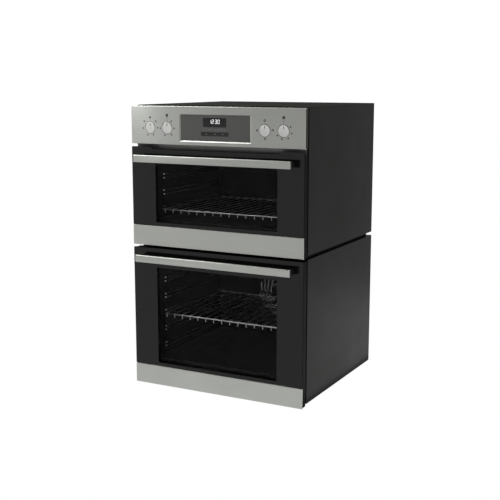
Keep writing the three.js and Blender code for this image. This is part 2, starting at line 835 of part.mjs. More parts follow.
// The carrier behind the glass: a window, hollow side columns, a recess for the inner glass,
// and a slot with a pin hole for each hinge.
function doorFrame(oven) {
  const top = doorHeight(oven);
  const windowHalf = WINDOW_HALF_WIDTH + 4;
  const windowTop = oven.windowTop - oven.doorBottom + 4;
  const outer = DOOR_HALF_WIDTH - 2;
  const lid = top - Math.max(oven.recess, 1) - 1;
  const front = PANE + GAP;
  let frame = box(-outer, outer, front, DOOR_THICKNESS, STEEL_SKIN + GAP, lid);
  frame = cut(
    frame,
    box(-windowHalf, windowHalf, 0, 30, WINDOW_BOTTOM - 4, windowTop),
    box(-252, 252, DOOR_THICKNESS - PANE - GAP, 30, 13.5, top - 15.5),
    box(-248, 248, front + 2, DOOR_THICKNESS - PANE - 2.5, 0, 66),
  );
  for (const side of [-1, 1]) {
    const x = side * HINGE.x;
    const pin = HINGE.above;
    frame = cut(
      frame,
      box(side * 273 - 17, side * 273 + 17, front + 2.2, DOOR_THICKNESS - 2, 45, top + 1),
      box(x - 5.5, x + 5.5, 0, 30, -1, 21),
      rod([x - 11, HINGE.y, pin], [x + 11, HINGE.y, pin], 3.6, 10),
    );
  }
  return named(`${oven.name}_door_frame`, frame, BLACK_PAINT);
}

function handleBar(oven) {
  const front = -HANDLE_PROUD;
  const back = front + HANDLE_DEPTH;
  const centre = oven.handle - oven.doorBottom;
  const bottom = centre - HANDLE_HEIGHT / 2;
  const top = centre + HANDLE_HEIGHT / 2;
  const bevel = 2.4;
  const section = polygon([
    [front, bottom + 0.8],
    [front + 0.8, bottom],
    [back, bottom],
    [back, top],
    [front + bevel, top],
    [front, top - bevel],
  ]);
  const bar = extrudeAlongX(section, -HANDLE_HALF_LENGTH, HANDLE_HALF_LENGTH);
  return named(`${oven.name}_handle_bar`, bar, BRUSHED_STEEL);
}

function handlePost(oven, side) {
  const x = side * (HANDLE_HALF_LENGTH - 11);
  const z = oven.handle - oven.doorBottom;
  const outline = roundedRectangle(x - 8, x + 8, z - 9, z + 9, 3);
  const post = extrudeAlongY(outline, -HANDLE_PROUD + HANDLE_DEPTH + GAP, -GAP);
  const name = `${oven.name}_handle_${side < 0 ? "left" : "right"}_post`;
  return named(name, post, BLACK_PLASTIC);
}

function door(oven) {
  const group = new THREE.Group();
  group.position.set(0, -DOOR_PROUD, oven.doorBottom);
  group.add(
    outerGlass(oven),
    innerGlass(oven),
    doorTrim(oven),
    doorFrame(oven),
    handleBar(oven),
    handlePost(oven, -1),
    handlePost(oven, 1),
  );
  return group;
}

// The fixed hinge leaf: an arm with the pivot pin, hooked behind the front frame.
function hinge(oven, side) {
  const pivot = oven.doorBottom + HINGE.above;
  const x = side * HINGE.x;
  const y = HINGE.y - DOOR_PROUD;
  const arm = polygon([
    [y, pivot - 2],
    [86, pivot - 2],
    [86, pivot + 18],
    [56, pivot + 18],
    [48, pivot + 5],
    [y, pivot + 5],
  ]);
  const leaf = join(
    extrudeAlongX(arm, x - 3, x + 3),
    rod([x - 3, y, pivot], [x + 3, y, pivot], 6, 14),
    rod([x - 10, y, pivot], [x + 10, y, pivot], 3, 8),
  );
  const name = `${oven.name}_${side < 0 ? "left" : "right"}_hinge`;
  return named(name, leaf, ZINC);
}

// ---- assembly ----------------------------------------------------------------------------
const oven = new THREE.Group();
const handleFront = -DOOR_PROUD - HANDLE_PROUD;
oven.position.y = -(handleFront + BODY_DEPTH) / 2;

oven.add(controlFascia(), fasciaCarrier(), displayLens(), controlBoard());
for (const knob of KNOBS) {
  oven.add(knobGroup(knob));
}

const upperTop = HEIGHT - SHEET - GAP;
oven.add(
  sidePanel("upper_left_side_panel", -1, GROOVE.top, upperTop),
  sidePanel("upper_right_side_panel", 1, GROOVE.top, upperTop),
  sidePanel("lower_left_side_panel", -1, SIDE_BOTTOM, GROOVE.bottom),
  sidePanel("lower_right_side_panel", 1, SIDE_BOTTOM, GROOVE.bottom),
);
const terminalWindow = box(
  TERMINAL.x - TERMINAL.halfWidth - 2.5,
  TERMINAL.x + TERMINAL.halfWidth + 2.5,
  BODY_DEPTH - 5,
  BODY_DEPTH + 5,
  TERMINAL.bottom - 13,
  TERMINAL.top + 6,
);
const upperSlots = slotRows(evenly(-210, 24, 8), [560, 640, 720], 6, 50);
const lowerSlots = slotRows(evenly(-93, 24, 8), [120, 300], 6, 60);
oven.add(
  rearCover("upper_rear_cover", GROOVE.top, upperTop, [terminalWindow, ...upperSlots]),
  rearCover("lower_rear_cover", CASING_BOTTOM, GROOVE.bottom, lowerSlots),
  topCover(),
  basePlate(),
  middleDivider(),
  frontFrame(),
  terminalBox(),
);

oven.add(upperCavity(), lowerCavity());
oven.add(grillElement(), ringElement(), fanGuard(), convectionFan(), fanMotor());
oven.add(coolingFanHousing(), coolingFanRotor());
for (const chamber of [UPPER, LOWER]) {
  oven.add(gasket(chamber), lamp(chamber), wireShelf(chamber), door(chamber));
  for (const side of [-1, 1]) {
    oven.add(shelfSupport(chamber, side), hinge(chamber, side));
  }
}

export default oven;
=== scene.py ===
"""Looks of the built-in double wall oven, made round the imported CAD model.

Metres. +X is to the right seen from the front, +Y towards the back, +Z up. Distances called
depth are measured back from the front plane of the fascia; the doors stand 3 mm before it.
"""
import json
import math

import bmesh
import bpy
from mathutils import Matrix, Vector


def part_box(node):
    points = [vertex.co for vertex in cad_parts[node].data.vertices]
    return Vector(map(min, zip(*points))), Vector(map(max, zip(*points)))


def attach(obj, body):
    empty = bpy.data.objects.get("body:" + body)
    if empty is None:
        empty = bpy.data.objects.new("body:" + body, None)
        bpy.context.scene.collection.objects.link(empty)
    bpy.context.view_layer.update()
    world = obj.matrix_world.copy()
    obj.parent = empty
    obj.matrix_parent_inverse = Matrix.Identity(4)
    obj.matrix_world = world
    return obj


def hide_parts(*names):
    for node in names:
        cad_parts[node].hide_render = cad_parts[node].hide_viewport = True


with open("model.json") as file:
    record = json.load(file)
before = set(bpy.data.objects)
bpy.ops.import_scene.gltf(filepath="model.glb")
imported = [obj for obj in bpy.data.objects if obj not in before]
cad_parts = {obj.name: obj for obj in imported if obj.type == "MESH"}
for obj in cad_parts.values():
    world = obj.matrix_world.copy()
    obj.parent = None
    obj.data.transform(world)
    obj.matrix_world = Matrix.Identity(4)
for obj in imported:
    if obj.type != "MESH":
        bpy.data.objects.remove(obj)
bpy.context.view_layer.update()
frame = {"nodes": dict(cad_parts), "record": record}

MM = 0.001
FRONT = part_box("control_fascia")[0].y
KNOBS = (
    "lower_oven_function",
    "lower_oven_temperature",
    "upper_oven_function",
    "upper_oven_temperature",
)
SIDES = (("left", -1), ("right", 1))


# ---- camera and light ----------------------------------------------------------------------
def make_camera():
    data = bpy.data.cameras.new("camera")
    data.sensor_width = 36
    data.lens = 68.64
    data.clip_start = 0.1
    data.clip_end = 60
    camera = bpy.data.objects.new("camera", data)
    bpy.context.scene.collection.objects.link(camera)
    camera.location = (1.423, FRONT - 2.471, 0.9664)
    camera.rotation_euler = (math.radians(79.88), 0, math.radians(27.82))
    bpy.context.scene.camera = camera


def area_light(name, location, target, size, power):
    data = bpy.data.lights.new(name, "AREA")
    data.shape = "RECTANGLE"
    data.size, data.size_y = size
    data.energy = power
    light = bpy.data.objects.new(name, data)
    bpy.context.scene.collection.objects.link(light)
    light.location = location
    aim = Vector(target) - Vector(location)
    light.rotation_euler = aim.to_track_quat("-Z", "Y").to_euler()


# The studio is white behind the oven and dim before it.
def make_world():
    world = bpy.data.worlds.new("studio")
    world.use_nodes = True
    tree = world.node_tree
    nodes, links = tree.nodes, tree.links
    background = nodes["Background"]
    coordinates = nodes.new("ShaderNodeTexCoord")
    split = nodes.new("ShaderNodeSeparateXYZ")
    ramp = nodes.new("ShaderNodeValToRGB")
    spread = nodes.new("ShaderNodeMapRange")
    links.new(coordinates.outputs["Generated"], split.inputs[0])
    spread.inputs["From Min"].default_value = -1
    spread.inputs["From Max"].default_value = 1
    links.new(split.outputs["Y"], spread.inputs["Value"])
    links.new(spread.outputs[0], ramp.inputs[0])
    ramp.color_ramp.elements[0].position = 0.35
    ramp.color_ramp.elements[0].color = (0.13, 0.13, 0.127, 1)
    ramp.color_ramp.elements[1].position = 0.72
    ramp.color_ramp.elements[1].color = (1.0, 1.0, 1.0, 1)
    links.new(ramp.outputs[0], background.inputs["Color"])
    background.inputs["Strength"].default_value = 1.03
    bpy.context.scene.world = world


# A floor that glows evenly white, as a light table does, so that it shows no shadow.
def make_floor():
    bm = bmesh.new()
    bmesh.ops.create_grid(bm, x_segments=1, y_segments=1, size=14)
    mesh = bpy.data.meshes.new("floor")
    bm.to_mesh(mesh)
    bm.free()
    floor = bpy.data.objects.new("floor", mesh)
    bpy.context.scene.collection.objects.link(floor)
    floor.location.z = -0.0004
    material = plain_material("white_floor", (0.0, 0.0, 0.0), 1.0)
    shader = material.node_tree.nodes["Principled BSDF"]
    shader.inputs["Specular IOR Level"].default_value = 0.0
    shader.inputs["Emission Color"].default_value = (1, 1, 1, 1)
    shader.inputs["Emission Strength"].default_value = 1.0
    mesh.materials.append(material)


def make_stage():
    bpy.context.scene.view_settings.view_transform = "Standard"
    make_world()
    make_floor()
    area_light("key", (-0.85, FRONT - 0.45, 1.2), (-0.15, FRONT, 0.86), (0.5, 0.25), 2.0)
    area_light("overhead", (-1.2, -0.5, 2.3), (-0.1, -0.25, 0.7), (1.0, 1.0), 25)
    for name, z in (("upper", 0.725), ("lower", 0.385)):
        area_light(name + "_oven_glow", (-0.05, FRONT + 0.035, z), (-0.05, FRONT + 0.2, z - 0.16),
                   (0.44, 0.02), 0.25)
    area_light("corner", (-0.43, FRONT - 0.2, 0.97), (-0.29, FRONT, 0.88), (0.06, 0.06), 0.06)
    area_light("floor_glow", (0.6, 0.55, 0.01), (0.6, 0.55, 1), (0.6, 1.5), 3.6)


# ---- material kit --------------------------------------------------------------------------
def plain_material(name, color, roughness, metallic=0.0):
    material = bpy.data.materials.new(name)
    material.use_nodes = True
    shader = material.node_tree.nodes["Principled BSDF"]
    shader.inputs["Base Color"].default_value = (*color, 1)
    shader.inputs["Roughness"].default_value = roughness
    shader.inputs["Metallic"].default_value = metallic
    return material


# A noise texture in object space, stretched by the three scales.
def noise(material, scales, detail=3.0, roughness=0.6):
    nodes, links = material.node_tree.nodes, material.node_tree.links
    place = nodes.get("Texture Coordinate") or nodes.new("ShaderNodeTexCoord")
    mapping = nodes.new("ShaderNodeMapping")
    mapping.inputs["Scale"].default_value = scales
    texture = nodes.new("ShaderNodeTexNoise")
    texture.inputs["Scale"].default_value = 1.0
    texture.inputs["Detail"].default_value = detail
    texture.inputs["Roughness"].default_value = roughness
    links.new(place.outputs["Object"], mapping.inputs["Vector"])
    links.new(mapping.outputs["Vector"], texture.inputs["Vector"])
    return texture.outputs["Fac"]


# Maps a 0 to 1 factor onto a range of numbers, for roughness and the like.
def spread_value(material, factor, low, high):
    nodes, links = material.node_tree.nodes, material.node_tree.links
    node = nodes.new("ShaderNodeMapRange")
    node.inputs["From Min"].default_value = 0.3
    node.inputs["From Max"].default_value = 0.7
    node.inputs["To Min"].default_value = low
    node.inputs["To Max"].default_value = high
    links.new(factor, node.inputs["Value"])
    return node.outputs[0]


def spread_color(material, factor, low, high, start=0.3, stop=0.7):
    nodes, links = material.node_tree.nodes, material.node_tree.links
    ramp = nodes.new("ShaderNodeValToRGB")
    ramp.color_ramp.elements[0].position = start
    ramp.color_ramp.elements[0].color = (*low, 1)
    ramp.color_ramp.elements[1].position = stop
    ramp.color_ramp.elements[1].color = (*high, 1)
    links.new(factor, ramp.inputs[0])
    return ramp.outputs[0]


def connect(material, socket, output):
    shader = material.node_tree.nodes["Principled BSDF"]
    material.node_tree.links.new(output, shader.inputs[socket])


def bump(material, factor, strength, distance):
    nodes, links = material.node_tree.nodes, material.node_tree.links
    node = nodes.new("ShaderNodeBump")
    node.inputs["Strength"].default_value = strength
    node.inputs["Distance"].default_value = distance
    links.new(factor, node.inputs["Height"])
    connect(material, "Normal", node.outputs[0])


# Brushed along x: streaks are long in x and a fraction of a millimetre across, and they spread
# a reflection mostly up and down.
def brushed_steel():
    material = plain_material("brushed_steel", (0.5, 0.5, 0.49), 0.32, 1.0)
    streaks = noise(material, (14, 2200, 2200), 4.0)
    smudges = noise(material, (7, 7, 7), 2.0)
    connect(material, "Base Color",
            spread_color(material, streaks, (0.40, 0.41, 0.385), (0.48, 0.49, 0.46)))
    connect(material, "Roughness", spread_value(material, smudges, 0.33, 0.38))
    bump(material, streaks, 0.12, 0.00005)
    shader = material.node_tree.nodes["Principled BSDF"]
    shader.inputs["Anisotropic"].default_value = 0.7
    shader.inputs["Anisotropic Rotation"].default_value = 0.25
    return material


def black_paint(name, low, high, gloss):
    material = plain_material(name, (0.02, 0.02, 0.02), 0.45)
    peel = noise(material, (900, 900, 900), 2.0)
    cloud = noise(material, (5, 5, 5), 3.0)
    connect(material, "Base Color",
            spread_color(material, cloud, (low, low, low * 0.94), (high, high, high * 0.94)))
    connect(material, "Roughness", spread_value(material, cloud, 0.42, 0.52))
    bump(material, peel, 0.12, 0.0001)
    shader = material.node_tree.nodes["Principled BSDF"]
    shader.inputs["Specular IOR Level"].default_value = gloss
    return material


def black_plastic():
    material = plain_material("black_plastic", (0.012, 0.012, 0.012), 0.5)
    grain = noise(material, (1500, 1500, 1500), 2.0)
    connect(material, "Roughness", spread_value(material, grain, 0.42, 0.6))
    bump(material, grain, 0.25, 0.00008)
    shader = material.node_tree.nodes["Principled BSDF"]
    shader.inputs["Specular IOR Level"].default_value = 0.08
    return material


def enamel():
    material = plain_material("enamel", (0.012, 0.012, 0.013), 0.22)
    specks = noise(material, (700, 700, 700), 0.0)
    waves = noise(material, (22, 22, 22), 2.0)
    connect(material, "Base Color",
            spread_color(material, specks, (0.005, 0.005, 0.0052), (0.06, 0.06, 0.063), 0.70, 0.78))
    connect(material, "Roughness", spread_value(material, waves, 0.30, 0.42))
    shader = material.node_tree.nodes["Principled BSDF"]
    shader.inputs["Specular IOR Level"].default_value = 0.1
    return material


def chrome(name, low, high):
    material = plain_material(name, (0.82, 0.82, 0.81), 0.14, 1.0)
    haze = noise(material, (60, 60, 60), 3.0)
    connect(material, "Roughness", spread_value(material, haze, low, high))
    return material


def zinc():
    material = plain_material("zinc", (0.55, 0.56, 0.56), 0.4, 0.9)
    spangle = noise(material, (90, 90, 90), 1.0)
    connect(material, "Base Color",
            spread_color(material, spangle, (0.42, 0.43, 0.43), (0.62, 0.63, 0.62)))
    connect(material, "Roughness", spread_value(material, spangle, 0.32, 0.5))
    return material


def dull_steel():
    material = plain_material("dull_steel", (0.24, 0.24, 0.237), 0.5, 0.9)
    cloud = noise(material, (30, 30, 30), 3.0)
    connect(material, "Roughness", spread_value(material, cloud, 0.45, 0.58))
    return material


def black_glass():
    material = plain_material("black_glass", (0.006, 0.006, 0.0058), 0.05)
    waves = noise(material, (9, 9, 9), 1.0)
    connect(material, "Roughness", spread_value(material, waves, 0.035, 0.06))
    bump(material, waves, 0.02, 0.001)
    shader = material.node_tree.nodes["Principled BSDF"]
    shader.inputs["Specular IOR Level"].default_value = 0.22
    return material


def window_glass(name, alpha, color):
    material = plain_material(name, color, 0.04)
    waves = noise(material, (9, 9, 9), 1.0)
    connect(material, "Roughness", spread_value(material, waves, 0.03, 0.05))
    shader = material.node_tree.nodes["Principled BSDF"]
    shader.inputs["Alpha"].default_value = alpha
    shader.inputs["Specular IOR Level"].default_value = 0.2
    return material


def knob_silver():
    material = plain_material("knob_silver", (0.7, 0.7, 0.69), 0.35, 0.3)
    satin = noise(material, (1300, 1300, 1300), 2.0)
    connect(material, "Roughness", spread_value(material, satin, 0.3, 0.42))
    connect(material, "Base Color",
            spread_color(material, satin, (0.66, 0.66, 0.65), (0.76, 0.765, 0.75)))
    bump(material, satin, 0.1, 0.00005)
    return material


def display_grey():
    material = plain_material("display_grey", (0.085, 0.085, 0.082), 0.3)
    satin = noise(material, (1800, 1800, 1800), 2.0)
    connect(material, "Roughness", spread_value(material, satin, 0.26, 0.36))
    connect(material, "Base Color",
            spread_color(material, satin, (0.078, 0.078, 0.075), (0.092, 0.092, 0.088)))
    return material


def rubber():
    material = plain_material("seal_rubber", (0.028, 0.028, 0.028), 0.75)
    grain = noise(material, (800, 800, 800), 2.0)
    connect(material, "Roughness", spread_value(material, grain, 0.65, 0.85))
    bump(material, grain, 0.3, 0.0001)
    return material


def oxidised():
    material = plain_material("heating_element", (0.09, 0.08, 0.072), 0.5, 0.7)
    stain = noise(material, (45, 45, 45), 4.0)
    connect(material, "Base Color",
            spread_color(material, stain, (0.055, 0.05, 0.05), (0.14, 0.12, 0.10)))
    connect(material, "Roughness", spread_value(material, stain, 0.4, 0.65))
    return material


def circuit_board():
    material = plain_material("circuit_board", (0.02, 0.09, 0.04), 0.45)
    tracks = noise(material, (220, 220, 220), 0.0)
    connect(material, "Base Color",
            spread_color(material, tracks, (0.012, 0.07, 0.03), (0.03, 0.14, 0.06), 0.48, 0.52))
    return material


def glowing(name, color, strength):
    material = plain_material(name, color, 0.4)
    shader = material.node_tree.nodes["Principled BSDF"]
    shader.inputs["Emission Color"].default_value = (*color, 1)
    shader.inputs["Emission Strength"].default_value = strength
    return material


def lamp_glass():
    material = plain_material("lamp_glass", (0.8, 0.81, 0.8), 0.08)
    ripple = noise(material, (160, 160, 160), 1.0)
    connect(material, "Roughness", spread_value(material, ripple, 0.05, 0.15))
    bump(material, ripple, 0.2, 0.0004)
    shader = material.node_tree.nodes["Principled BSDF"]
    shader.inputs["Alpha"].default_value = 0.55
    return material


make_camera()
make_stage()

STEEL = brushed_steel()
PAINT = black_paint("black_paint", 0.007, 0.009, 0.03)
# The top cover's paint is the same black paint made lighter and without gloss: painted light, for
# the sheen the top catches at a grazing angle.
LIT_TOP_PAINT = black_paint("lit_top_paint", 0.034, 0.040, 0.0)
SHADOW_PAINT = black_paint("shadow_paint", 0.004, 0.005, 0.01)
PLASTIC = black_plastic()
ENAMEL = enamel()
CHROME = chrome("chrome_wire", 0.09, 0.22)
SHELF_WIRE = chrome("shelf_wire", 0.26, 0.36)
ZINC = zinc()
BLACK_GLASS = black_glass()
WINDOW = window_glass("window_glass", 0.07, (0.004, 0.004, 0.004))
INNER_PANE = window_glass("inner_glass", 0.08, (0.006, 0.006, 0.006))
KNOB = knob_silver()
DISPLAY = display_grey()
STRIP = dull_steel()
# A light grey for the vent strip's ends: painted light, so that the shaded gap under the fascia's
# ends reads dark grey.
PAINTED_LIGHT_STRIP_END = plain_material("painted_light_strip_end", (0.16, 0.16, 0.155), 0.5)
RUBBER = rubber()
OXIDE = oxidised()
BOARD = circuit_board()
# A matte black without gloss for cut edges: painted shade.
EDGE_BLACK = plain_material("edge_black", (0.006, 0.006, 0.006), 0.8)
EDGE_BLACK.node_tree.nodes["Principled BSDF"].inputs["Specular IOR Level"].default_value = 0.02
INK = plain_material("dark_ink", (0.03, 0.03, 0.03), 0.5)
GREY_INK = plain_material("grey_ink", (0.26, 0.26, 0.255), 0.5)
DIGITS = glowing("clock_digits", (0.9, 0.92, 0.92), 1.0)
BLACK_SCREEN = plain_material("black_screen", (0.008, 0.008, 0.008), 0.15)
LAMP_GLASS = lamp_glass()


# ---- mesh kit ------------------------------------------------------------------------------
def point(x, depth, z):
    """A place given in millimetres, with depth measured back from the front plane."""
    return Vector((x * MM, FRONT + depth * MM, z * MM))


def smooth(mesh, angle=35):
    mesh.polygons.foreach_set("use_smooth", [True] * len(mesh.polygons))
    mesh.set_sharp_from_angle(angle=math.radians(angle))


def piece(name, bm, materials, body, replaces=(), angle=35):
    bmesh.ops.recalc_face_normals(bm, faces=bm.faces)
    mesh = bpy.data.meshes.new(name)
    bm.to_mesh(mesh)
    bm.free()
    for material in materials if isinstance(materials, (list, tuple)) else [materials]:
        mesh.materials.append(material)
    smooth(mesh, angle)
    obj = bpy.data.objects.new(name, mesh)
    bpy.context.scene.collection.objects.link(obj)
    obj.modifiers.new("normals", "WEIGHTED_NORMAL").keep_sharp = True
    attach(obj, body)
    if replaces:
        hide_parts(*replaces)
    return obj


def add_box(bm, low, high, bevel=0.3, segments=2):
    """A box between two corners given by point(), with rounded edges; bevel in millimetres."""
    size = high - low
    centre = (high + low) / 2
    matrix = Matrix.Translation(centre) @ Matrix.Diagonal((*size, 1))
    made = bmesh.ops.create_cube(bm, size=1, matrix=matrix)
    if bevel:
        edges = {edge for vert in made["verts"] for edge in vert.link_edges}
        bmesh.ops.bevel(bm, geom=list(edges), offset=bevel * MM, segments=segments,
                        profile=0.5, affect="EDGES", clamp_overlap=True)


def add_tube(bm, route, radius, sides=12):
    """A round wire along the points of a route, with closed ends; radius in metres."""
    rings = []
    side = None
    for i, here in enumerate(route):
        before = route[max(i - 1, 0)]
        after = route[min(i + 1, len(route) - 1)]
        along = (after - before).normalized()
        if side is None:
            side = along.orthogonal().normalized()
        side = (side - along * side.dot(along)).normalized()
        other = along.cross(side)
        ring = []
        for k in range(sides):
            turn = 2 * math.pi * k / sides
            outward = side * math.cos(turn) + other * math.sin(turn)
            ring.append(bm.verts.new(here + outward * radius))
        rings.append(ring)
    for first, second in zip(rings, rings[1:]):
        for k in range(sides):
            bm.faces.new((first[k], first[(k + 1) % sides], second[(k + 1) % sides], second[k]))
    bm.faces.new(list(reversed(rings[0])))
    bm.faces.new(rings[-1])


def rounded_route(corners, bend, steps=5):
    """The corners of a route, each replaced by a round bend; bend in metres."""
    route = [corners[0]]
    for before, corner, after in zip(corners, corners[1:], corners[2:]):
        start = corner + (before - corner).normalized() * bend
        end = corner + (after - corner).normalized() * bend
        for i in range(steps + 1):
            t = i / steps
            route.append(start * (1 - t) ** 2 + corner * 2 * t * (1 - t) + end * t * t)
    route.append(corners[-1])
    return route


def add_lathe(bm, profile, centre, segments=48):
    """Turns a profile of (radius, depth) pairs in millimetres about the depth axis."""
    rings = []
    for radius, along in profile:
        ring = []
        for k in range(segments if radius > 0 else 1):
            turn = 2 * math.pi * k / segments
            offset = Vector((radius * math.cos(turn), along, radius * math.sin(turn)))
            ring.append(bm.verts.new(centre + offset * MM))
        rings.append(ring)
    for first, second in zip(rings, rings[1:]):
        for k in range(segments):
            after = (k + 1) % segments
            if len(first) == 1 and len(second) == 1:
                break
            if len(first) == 1:
                bm.faces.new((first[0], second[k], second[after]))
            elif len(second) == 1:
                bm.faces.new((first[k], second[0], first[after]))
            else:
                bm.faces.new((first[k], first[after], second[after], second[k]))


def rounded_rectangle(x0, x1, z0, z1, radius, steps=6):
    """Corner-rounded outline points (x, z) in millimetres, anticlockwise."""
    corners = ((x1, z0, -90), (x1, z1, 0), (x0, z1, 90), (x0, z0, 180))
    outline = []
    for x, z, first in corners:
        cx = x - radius if x == x1 else x + radius
        cz = z - radius if z == z1 else z + radius
        for i in range(steps + 1):
            turn = math.radians(first + 90 * i / steps)
            outline.append((cx + radius * math.cos(turn), cz + radius * math.sin(turn)))
    return outline


def circle(x, z, radius, steps=64):
    turns = [2 * math.pi * k / steps for k in range(steps)]
    return [(x + radius * math.cos(t), z + radius * math.sin(t)) for t in turns]


def add_plate(bm, outlines, depth, thickness, bevel=0.2):
    """A sheet across the depth axis: the first outline is its edge, the others are holes."""
    curve = bpy.data.curves.new("plate_outline", "CURVE")
    curve.dimensions = "2D"
    curve.fill_mode = "BOTH"
    curve.extrude = (thickness / 2 - bevel) * MM
    curve.bevel_depth = bevel * MM
    curve.bevel_resolution = 1
    curve.offset = -bevel * MM
    for outline in outlines:
        spline = curve.splines.new("POLY")
        spline.points.add(len(outline) - 1)
        for target, (x, z) in zip(spline.points, outline):
            target.co = (x * MM, z * MM, 0, 1)
        spline.use_cyclic_u = True
    carrier = bpy.data.objects.new("plate_outline", curve)
    mesh = bpy.data.meshes.new_from_object(carrier)
    place = Matrix.Translation(point(0, depth + thickness / 2, 0))
    mesh.transform(place @ Matrix.Rotation(math.pi / 2, 4, "X"))
    bm.from_mesh(mesh)
    bpy.data.objects.remove(carrier)
    bpy.data.curves.remove(curve)
    bpy.data.meshes.remove(mesh)


def add_profile(bm, outline, x0, x1):
    """Extrudes an outline of (depth, z) points in millimetres from x0 to x1."""
    ends = []
    for x in (x0, x1):
        ends.append([bm.verts.new(point(x, depth, z)) for depth, z in outline])
    count = len(outline)
    for k in range(count):
        after = (k + 1) % count
        bm.faces.new((ends[0][k], ends[0][after], ends[1][after], ends[1][k]))
    bm.faces.new(list(reversed(ends[0])))
    bm.faces.new(ends[1])


def folded_edge(face_z, edge_z, front, depth, thickness=1.2, bend=1.6, steps=5):
    """The profile of a sheet that runs up or down from face_z and folds back at edge_z."""
    way = 1 if edge_z > face_z else -1
    outer, inner = [], []
    for i in range(steps + 1):
        turn = math.pi / 2 * i / steps
        back, rise = 1 - math.cos(turn), math.sin(turn)
        outer.append((front + bend * back, edge_z - way * bend * (1 - rise)))
        tight = bend - thickness
        inner.append((front + thickness + tight * back,
                      edge_z - way * (thickness + tight * (1 - rise))))
    back = front + depth
    profile = [(front, face_z), *outer, (back, edge_z), (back, edge_z - way * thickness)]
    return [*profile, *reversed(inner), (front + thickness, face_z)]


# ---- CAD nodes that keep their shape -------------------------------------------------------
SLOT_MATERIALS = {
    "brushed_steel": STEEL,
    "black_paint": PAINT,
    "black_plastic": PLASTIC,
    "display_glass": DISPLAY,
    "circuit_board": BOARD,
    "galvanised_steel": ZINC,
    "enamel": ENAMEL,
    "seal": RUBBER,
    "heating_element": OXIDE,
    "lamp_glass": LAMP_GLASS,
    "chrome_wire": CHROME,
    "black_glass": BLACK_GLASS,
    "clear_glass": INNER_PANE,
    "knob_silver": KNOB,
}


# Nodes that take a lit or shaded copy of the black paint instead of their slot's material: painted
# light on the top cover, painted shade on the frames.
NODE_MATERIALS = {
    "top_cover": LIT_TOP_PAINT,
    "front_frame": SHADOW_PAINT,
    "middle_divider": SHADOW_PAINT,
    "upper_door_frame": SHADOW_PAINT,
    "lower_door_frame": SHADOW_PAINT,
}


def dress_cad_nodes():
    for part in frame["record"]["subparts"]:
        obj = frame["nodes"][part["node"]]
        obj.data.materials.clear()
        usual = SLOT_MATERIALS[part["material_slot"]]
        obj.data.materials.append(NODE_MATERIALS.get(part["node"], usual))
        soften = obj.modifiers.new("edges", "BEVEL")
        soften.width = 0.35 * MM
        soften.segments = 2
        soften.limit_method = "ANGLE"
        soften.angle_limit = math.radians(50)
        soften.harden_normals = True
        obj.data.polygons.foreach_set("use_smooth", [True] * len(obj.data.polygons))
        obj.data.set_sharp_from_angle(angle=math.radians(30))


# ---- fascia --------------------------------------------------------------------------------
KNOB_Z = 822
KNOB_X = (-228, -167, 167, 228)
KNOB_HOLE_RADIUS = 18.7
FASCIA_BOTTOM = 771.5
FASCIA_TOP = 888
HALF = 297
BEND = 1.6
SHEET = 1.2
FASCIA_FOLD = 8
DISPLAY_BOX = (-119.5, 118.5, 785.5, 863.6)
DISPLAY_HOLE = (-123.7, 123.3, 782.3, 864.3)
SCREEN_DEPTH = 2.2
PANEL_BACK = 3.8
CLOCK_WINDOW = (-41, 38.5, 827.5, 855)
TOUCH_STRIP = (-48, 46, 801, 813)


def fascia():
    bm = bmesh.new()
    outlines = [rounded_rectangle(-HALF, HALF, FASCIA_BOTTOM + BEND, FASCIA_TOP - BEND, 0.01, 1)]
    outlines.append(rounded_rectangle(*DISPLAY_HOLE, 3))
    for x in KNOB_X:
        outlines.append(circle(x, KNOB_Z, KNOB_HOLE_RADIUS))
    add_plate(bm, outlines, 0, SHEET, 0)
    add_profile(bm, folded_edge(FASCIA_TOP - BEND, FASCIA_TOP, 0, FASCIA_FOLD), -HALF, HALF)
    bottom_fold = folded_edge(FASCIA_BOTTOM + BEND, FASCIA_BOTTOM, 0, FASCIA_FOLD)
    add_profile(bm, bottom_fold, -HALF, HALF)
    piece("fascia_sheet", bm, STEEL, "casing", ["control_fascia"])


# A sloping wall between two outlines that have the same number of points.
def add_slope(bm, outer, outer_depth, inner, inner_depth):
    rings = []
    for outline, depth in ((outer, outer_depth), (inner, inner_depth)):
        rings.append([bm.verts.new(point(x, depth, z)) for x, z in outline])
    count = len(outer)
    for k in range(count):
        after = (k + 1) % count
        bm.faces.new((rings[0][k], rings[0][after], rings[1][after], rings[1][k]))


# The steel slopes inwards round the display, which sits a little behind the fascia.
def display():
    x0, x1, z0, z1 = DISPLAY_BOX
    bm = bmesh.new()
    add_slope(bm, rounded_rectangle(*DISPLAY_HOLE, 3), 0,
              rounded_rectangle(x0, x1, z0, z1, 2), SCREEN_DEPTH + 0.1)
    piece("display_rim", bm, STEEL, "casing")
    bm = bmesh.new()
    add_plate(bm, [rounded_rectangle(x0 - 0.2, x1 + 0.2, z0 - 0.2, z1 + 0.2, 2)], SCREEN_DEPTH,
              PANEL_BACK - SCREEN_DEPTH, 0.1)
    piece("display_panel", bm, DISPLAY, "casing", ["display_lens"])
    bm = bmesh.new()
    add_plate(bm, [rounded_rectangle(*CLOCK_WINDOW, 1)], SCREEN_DEPTH - 0.1, 0.3, 0.05)
    add_plate(bm, [rounded_rectangle(*TOUCH_STRIP, 1.5)], SCREEN_DEPTH - 0.1, 0.3, 0.05)
    piece("display_window", bm, BLACK_SCREEN, "casing")
    clock_digits()
    touch_marks()


SEGMENTS = {
    "0": "abcdef",
    "1": "bc",
    "2": "abged",
    "3": "abgcd",
}
DIGIT_SLANT = 0.08
# How far the digits' front and rear stand before the display panel's face.
DIGIT_RAISE = 0.16
DIGIT_SINK = 0.09


